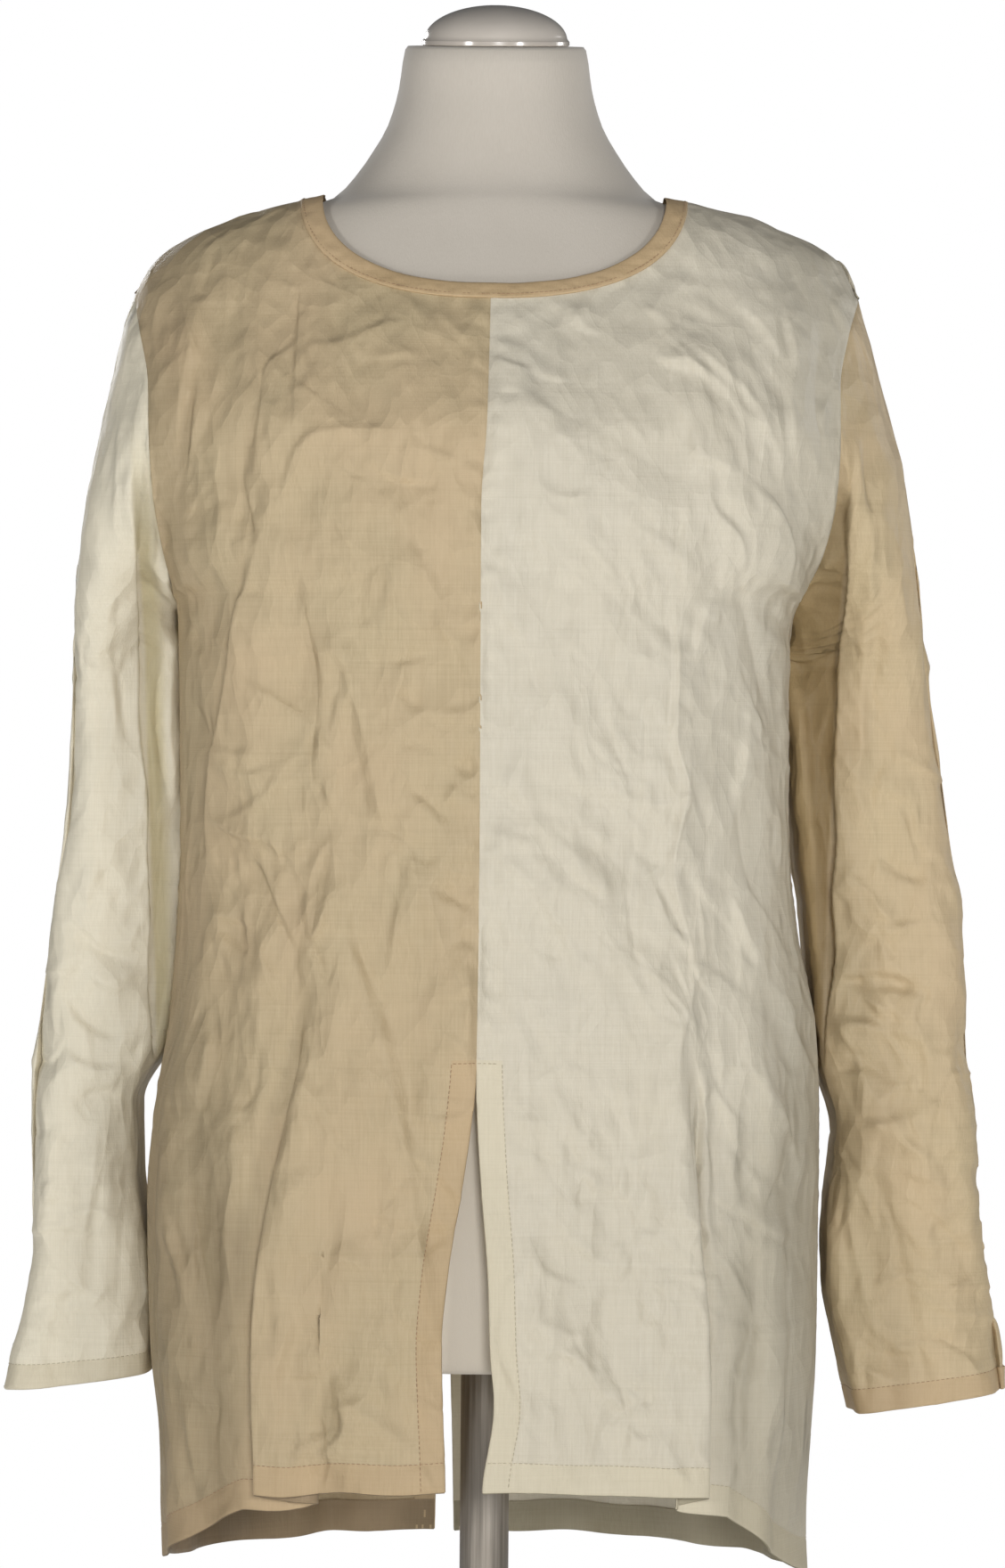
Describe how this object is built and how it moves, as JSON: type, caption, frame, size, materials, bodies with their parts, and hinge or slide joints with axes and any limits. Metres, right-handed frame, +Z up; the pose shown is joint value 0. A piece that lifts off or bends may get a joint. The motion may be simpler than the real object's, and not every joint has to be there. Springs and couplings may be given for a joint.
{
  "type": "blouse on a dress form",
  "caption": "Colour-blocked long-sleeved round-neck tunic blouse with a front slit, hanging on a limbless dress form on a round stand.",
  "frame": {"origin": "centre of the stand's round base at floor level", "axes": "+Z up, the blouse's front faces -Y, the wearer's left is +X"},
  "size_m": [0.5591, 0.36, 1.5476],
  "materials": {
    "tan_voile": "crumpled cotton voile with a soft sheen",
    "cream_voile": "crumpled cotton voile with a soft sheen",
    "form_jersey": "matt jersey stretched over the form",
    "cap_gloss": "glossy lacquer",
    "post_steel": "satin",
    "base_metal": "satin paint"
  },
  "bodies": {
    "root": {"front_right": "tan_voile", "front_left": "cream_voile", "back_right": "tan_voile", "back_left": "cream_voile", "sleeve_right": "cream_voile", "sleeve_left": "tan_voile", "neck_binding": "tan_voile", "form_torso": "form_jersey", "neck_cap": "cap_gloss", "stand_post": "post_steel", "stand_base": "base_metal"}
  },
  "joints": []
}
